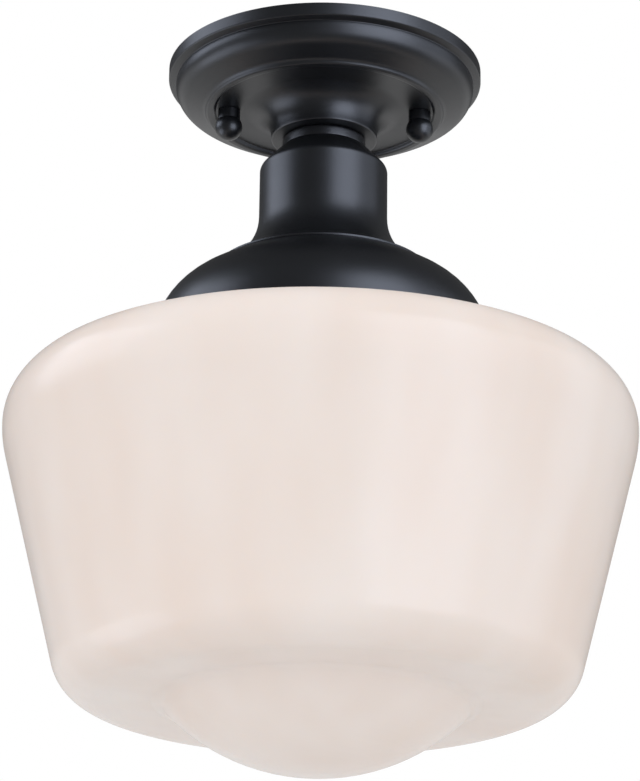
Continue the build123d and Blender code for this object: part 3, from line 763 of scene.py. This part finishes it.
class LIGHT_OT_shade(bpy.types.Operator):
    """Shade, blown from opal glass, with an even wall and a fire-polished lip"""

    bl_idname = "ceiling_light.shade"
    bl_label = "Shade"

    def execute(self, context):
        size = context.scene.light_shade
        lip_z = top("shade")
        apex = bottom("shade")
        base = apex + size.bulge_depth
        neck_root = -size.neck_root
        flare = lip_z - size.lip_rim - size.lip_height
        # A fillet takes radius * tan(half the bend) of each run beside its corner
        straight = 0.1 * MM  # left between two fillets
        bevel_reach = size.bevel_fillet * math.tan((math.pi / 2 - size.bevel_slope) / 2)
        bend = size.bevel_slope - size.shoulder_slope
        shoulder_reach = size.shoulder_fillet * math.tan(bend / 2)
        belt_reach = size.belt_fillet * math.tan(size.taper / 2)
        bevel = shoulder_reach + bevel_reach + straight
        shoulder = size.radius - bevel * math.cos(size.bevel_slope)
        shoulder_z = neck_root - (shoulder - size.neck_radius) * math.tan(size.shoulder_slope)
        bevel_z = shoulder_z - bevel * math.sin(size.bevel_slope)
        belt_z = bevel_z - bevel_reach - belt_reach - straight
        foot = size.radius - (belt_z - base) * math.tan(size.taper)
        # The bulge and the fillet round it have their centres the sum of their radii apart
        rise = size.bulge_radius - size.bulge_depth + size.bulge_fillet
        ring = math.sqrt((size.bulge_radius + size.bulge_fillet) ** 2 - rise ** 2)
        turn = math.asin(ring / (size.bulge_radius + size.bulge_fillet))
        corners = [
            (size.lip_radius, lip_z - size.lip_round),
            (size.lip_radius, lip_z - size.lip_rim),
            (size.neck_radius, flare),
            (size.neck_radius, neck_root),
            (shoulder, shoulder_z),
            (size.radius, bevel_z),
            (size.radius, belt_z),
            (foot, base),
            (ring - size.bulge_fillet * math.tan(turn / 2), base),
            (size.bulge_radius * math.tan(turn / 2), apex),
            (0.0, apex),
        ]
        radii = [size.lip_crease, size.lip_crease, size.neck_fillet, size.shoulder_fillet,
                 size.bevel_fillet, size.belt_fillet, size.foot_fillet, size.bulge_fillet,
                 size.bulge_radius]
        step = math.radians(3.0)
        outer = outline(corners, radii, 0.0, step)
        inner = outline(corners, radii, -size.wall, step)
        lip = outline([inner[0], (size.lip_radius - size.wall, lip_z), (size.lip_radius, lip_z),
                       outer[0]], [size.lip_round, size.lip_round])
        section = np.concatenate([inner[::-1], lip[1:-1], outer])
        section[[0, -1], 0] = 0.0
        grid = turned(filled(section, 4.5 * MM), segments=200)
        # Blown glass lies a little inside a true round: the radius dips by waviness times one
        # plus half a sum of three sines, with two, three and five lobes that turn with height.
        # The dip grows from none at the lip's radius to its full depth 30 mm further out
        angle = np.arctan2(grid[..., 1], grid[..., 0])
        height = grid[..., 2] / (60 * MM)
        lobes = (np.sin(2 * angle + 0.7 + 0.8 * height)
                 + 0.6 * np.sin(3 * angle + 2.1 - height)
                 + 0.4 * np.sin(5 * angle + 4.0 + 1.7 * height))
        radius = np.hypot(grid[..., 0], grid[..., 1])
        fade = np.clip((radius - size.lip_radius) / (30 * MM), 0.0, 1.0)
        dip = size.waviness * fade * (1.0 + lobes / 2.0)
        grid[..., :2] *= (1.0 - dip / np.maximum(radius, MM))[..., None]
        shade = surface("glass_shade", grid, closed=False)
        finish(shade, "shade", OPAL, "shade")
        return {"FINISHED"}


class LIGHT_OT_mounting(bpy.types.Operator):
    """Strap, studs, nuts, threaded tube, wires and their connectors, above and inside the metal"""

    bl_idname = "ceiling_light.mounting"
    bl_label = "Mounting and wires"

    def execute(self, context):
        size = context.scene.light_screws
        place = middle("ball_nut_right").x
        for side, x in (("right", place), ("left", -place)):
            low, high = bottom("canopy_studs"), top("canopy_studs")
            thread = threaded(size.stud, size.fine_pitch, low, high)
            pole = np.zeros((1, thread.shape[1], 3))
            grid = np.concatenate([pole + (0, 0, low), thread, pole + (0, 0, high)])
            grid = moved(grid, x)
            stud = surface(f"canopy_stud_{side}", grid, closed=False, sharp=SHARP_THREAD)
            finish(stud, "fixture", ZINC, "canopy_studs")
            grid = hex_nut(size.stud_nut, size.stud + NUT_GAP, bottom("stud_nuts"),
                           top("stud_nuts"), size.nut_chamfer)
            nut = surface(f"stud_nut_{side}", moved(grid, x))
            finish(nut, "fixture", ZINC, "stud_nuts")
        for name in ("canopy_locknut", "holder_locknut"):
            low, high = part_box(name)
            nut = surface(f"{name}_hex", hex_nut(high.y - low.y, size.tube + NUT_GAP, low.z,
                                                 high.z, size.nut_chamfer))
            finish(nut, "fixture", ZINC, name)
        low, high = bottom("nipple"), top("nipple")
        tube = threaded(size.tube, size.tube_pitch, low, high, segments=48)
        bore = turned(np.array([(size.tube_bore, high), (size.tube_bore, low)]), segments=48)
        piece = surface("threaded_tube", np.concatenate([tube, bore]), sharp=SHARP_THREAD)
        finish(piece, "fixture", ZINC, "nipple")
        for node in ("crossbar", "canopy_lock_washer", "holder_washer", "ground_lug",
                     "socket_cap"):
            coat(node, "zinc_plated_steel")
        coat("ground_screw", "green_zinc_plate")
        coat("ground_wire", "bare_copper")
        coat("lead_black", "black_pvc")
        coat("lead_white", "white_pvc")
        coat("wire_nuts", "orange_nylon")
        return {"FINISHED"}


class LIGHT_OT_lamp_holder(bpy.types.Operator):
    """Porcelain socket and the bulb inside the shade"""

    bl_idname = "ceiling_light.lamp_holder"
    bl_label = "Socket and bulb"

    def execute(self, context):
        coat("socket_body", "glazed_porcelain")
        coat("socket_shell", "nickelled_brass")
        coat("socket_contact", "bare_brass")
        coat("bulb_contact", "tin_solder")
        coat("bulb_insulator", "black_vitrite")
        coat("bulb_base", "nickelled_brass")
        coat("bulb_globe", "frosted_glass")
        return {"FINISHED"}


# ---------------------------------------------------------------- stage

# Turns are from the front as seen from above, lifts are from level, and both are in degrees
TARGET = Vector((0.0, 0.0, -0.15))
LAMP_DISTANCE = 1.6
# name, turn, lift, width, height, power
LAMPS = (
    ("right_softbox", 40.0, 8.0, 1.3, 2.4, 41.0),
    ("right_panel", 84.0, 4.0, 1.3, 2.0, 9.0),
    ("left_softbox", -90.0, 27.0, 1.3, 0.9, 11.0),
    ("left_card", -90.0, -28.0, 1.2, 0.8, 7.5),
)
KEY_WAY = Vector((-0.1, -0.75, -0.35)).normalized()
KEY_DISTANCE, KEY_SIZE, KEY_POWER = 2.0, 1.6, 3.1
CAMERA_PLACE = (-0.00037, -1.109, -0.5399)
CAMERA_LIFT, CAMERA_ROLL = 19.93, 0.72
CAMERA_LENS, CAMERA_SENSOR = 138.0, 36.0  # millimetres
BACKDROP_WAY = (0.0, 0.3, -0.95)          # the middle of the bright backdrop
STUDIO_DIM, BACKDROP_BRIGHT = 0.12, 0.8   # as shiny surfaces see them
FLOOR_HALF, FLOOR_LEVEL = 6.0, -2.4       # half its width, and its height


class LIGHT_OT_stage(bpy.types.Operator):
    """Pale floor, white surroundings, soft studio lamps and the photograph's camera"""

    bl_idname = "ceiling_light.stage"
    bl_label = "Stage"

    def execute(self, context):
        scene = context.scene
        scene.view_settings.view_transform = "Standard"
        self.surroundings(scene)
        self.floor(scene)
        # The softboxes only shine: the white surroundings light the colours evenly
        for name, turn, lift, width, height, power in LAMPS:
            rise = math.radians(lift)
            way = around(turn - 90.0) * math.cos(rise) + Vector((0.0, 0.0, math.sin(rise)))
            softbox = self.lamp(scene, name, way * LAMP_DISTANCE, width, height, power)
            softbox.data.color = linear("#e6eeff")[:3]
            softbox.visible_diffuse = False
        # The key only models the form: it has no mirror image
        key = self.lamp(scene, "key", KEY_WAY * KEY_DISTANCE, KEY_SIZE, KEY_SIZE, KEY_POWER)
        key.visible_glossy = False
        data = bpy.data.cameras.new("camera")
        data.sensor_width = CAMERA_SENSOR
        data.lens = CAMERA_LENS
        data.clip_end = 20.0
        camera = bpy.data.objects.new("camera", data)
        camera.location = CAMERA_PLACE
        tilt = Euler((math.radians(90.0 + CAMERA_LIFT), 0.0, 0.0)).to_matrix()
        roll = Euler((0.0, 0.0, math.radians(CAMERA_ROLL))).to_matrix()
        camera.rotation_euler = (tilt @ roll).to_euler()
        scene.collection.objects.link(camera)
        scene.camera = camera
        return {"FINISHED"}

    def lamp(self, scene, name, offset, width, height, power):
        """A flat lamp at an offset from the target, facing it."""
        light = bpy.data.lights.new(name, "AREA")
        light.shape = "RECTANGLE"
        light.size, light.size_y = width, height
        light.energy = power
        lamp = bpy.data.objects.new(name, light)
        lamp.location = TARGET + offset
        lamp.rotation_euler = offset.to_track_quat("Z", "Y").to_euler()
        scene.collection.objects.link(lamp)
        return lamp

    def surroundings(self, scene):
        """White all round. Shiny surfaces see a bright backdrop behind and below, the rest dim.

        The strength is 1 for a ray from the camera, through something or off a matt surface, and
        the backdrop's brightness for one off a shiny surface.
        """
        world = bpy.data.worlds.new("studio")
        scene.world = world
        world.use_nodes = True
        tree = world.node_tree
        tree.nodes.clear()
        path = add(tree, "ShaderNodeLightPath")
        way = add(tree, "ShaderNodeTexCoord").outputs["Generated"]
        facing = add(tree, "ShaderNodeVectorMath", {0: way, 1: BACKDROP_WAY},
                     operation="DOT_PRODUCT")
        backdrop = add(tree, "ShaderNodeMapRange",
                       {"Value": facing.outputs["Value"], "From Min": 0.0, "From Max": 0.3,
                        "To Min": STUDIO_DIM, "To Max": BACKDROP_BRIGHT},
                       interpolation_type="SMOOTHSTEP")
        strength = add(tree, "ShaderNodeMath", {0: path.outputs["Is Glossy Ray"],
                                                1: backdrop.outputs["Result"]},
                       operation="MULTIPLY")
        for ray in ("Is Camera Ray", "Is Transmission Ray", "Is Diffuse Ray"):
            strength = add(tree, "ShaderNodeMath", {0: strength.outputs[0], 1: path.outputs[ray]},
                           operation="MAXIMUM")
        add(tree, "ShaderNodeBackground",
            {"Color": linear("#ffffff"), "Strength": strength.outputs[0]},
            to=add(tree, "ShaderNodeOutputWorld").inputs["Surface"])

    def floor(self, scene):
        """A pale floor, far enough below to be seen from under the light. In front of the object
        it holds painted shade that only shiny surfaces see.
        """
        half, level = FLOOR_HALF, FLOOR_LEVEL
        mesh = bpy.data.meshes.new("floor")
        mesh.from_pydata([(-half, -half, level), (half, -half, level), (half, half, level),
                          (-half, half, level)], [], [(0, 1, 2, 3)])
        tree, place, output = blank("pale_floor")
        speckle = add(tree, "ShaderNodeTexNoise", {"Vector": place, "Scale": 40.0})
        tone = add(tree, "ShaderNodeValToRGB", {"Fac": speckle.outputs["Fac"]})
        tone.color_ramp.elements[0].color = linear("#dddddc")
        tone.color_ramp.elements[1].color = linear("#e3e3e2")
        # Painted shade: shiny surfaces alone see the floor in front of the object painted near
        # black, standing in for an unlit studio on that side. Sockets 0, 6 and 7 of a colour mix
        # are its factor and its two colours, and its output is 2
        path = add(tree, "ShaderNodeLightPath")
        depth = add(tree, "ShaderNodeSeparateXYZ", {"Vector": place})
        front = add(tree, "ShaderNodeMapRange",
                    {"Value": depth.outputs["Y"], "From Min": 1.0, "From Max": 0.0,
                     "To Min": 0.0, "To Max": 0.8})
        painted_shade_front = add(tree, "ShaderNodeMath", {0: path.outputs["Is Glossy Ray"],
                                             1: front.outputs["Result"]},
                    operation="MULTIPLY")
        floor_tone_with_painted_shade = add(tree, "ShaderNodeMix", {0: painted_shade_front.outputs[0], 6: tone.outputs["Color"],
                                             7: linear("#101010")}, data_type="RGBA")
        add(tree, "ShaderNodeBsdfPrincipled",
            {"Base Color": floor_tone_with_painted_shade.outputs[2], "Roughness": 0.9}, to=output)
        mesh.materials.append(bpy.data.materials["pale_floor"])
        floor = bpy.data.objects.new("floor", mesh)
        scene.collection.objects.link(floor)


class LIGHT_PT_panel(bpy.types.Panel):
    """Lists the light's pieces in the sidebar"""

    bl_idname = "LIGHT_PT_panel"
    bl_label = "Ceiling light"
    bl_space_type = "VIEW_3D"
    bl_region_type = "UI"
    bl_category = "Ceiling light"

    def draw(self, context):
        for title, group in GROUPS.items():
            box = self.layout.box()
            box.label(text=title.replace("light_", "").capitalize())
            for name in group.__annotations__:
                box.prop(getattr(context.scene, title), name)
        for operator in OPERATORS:
            self.layout.operator(operator.bl_idname)


GROUPS = {
    "light_canopy": CanopySizes,
    "light_neck": NeckSizes,
    "light_screws": ScrewSizes,
    "light_shade": ShadeSizes,
    "light_finishes": Finishes,
}
OPERATORS = (LIGHT_OT_canopy, LIGHT_OT_ball_nuts, LIGHT_OT_neck, LIGHT_OT_thumbscrews,
             LIGHT_OT_shade, LIGHT_OT_mounting, LIGHT_OT_lamp_holder, LIGHT_OT_stage)


def register():
    for group in GROUPS.values():
        bpy.utils.register_class(group)
    for title, group in GROUPS.items():
        setattr(bpy.types.Scene, title, bpy.props.PointerProperty(type=group))
    for operator in OPERATORS:
        bpy.utils.register_class(operator)
    bpy.utils.register_class(LIGHT_PT_panel)


def unregister():
    bpy.utils.unregister_class(LIGHT_PT_panel)
    for operator in reversed(OPERATORS):
        bpy.utils.unregister_class(operator)
    for title, group in GROUPS.items():
        delattr(bpy.types.Scene, title)
        bpy.utils.unregister_class(group)


def main():
    register()
    bpy.ops.ceiling_light.canopy()
    bpy.ops.ceiling_light.ball_nuts()
    bpy.ops.ceiling_light.neck()
    bpy.ops.ceiling_light.thumbscrews()
    bpy.ops.ceiling_light.shade()
    bpy.ops.ceiling_light.mounting()
    bpy.ops.ceiling_light.lamp_holder()
    bpy.ops.ceiling_light.stage()


if __name__ == "__main__":
    main()
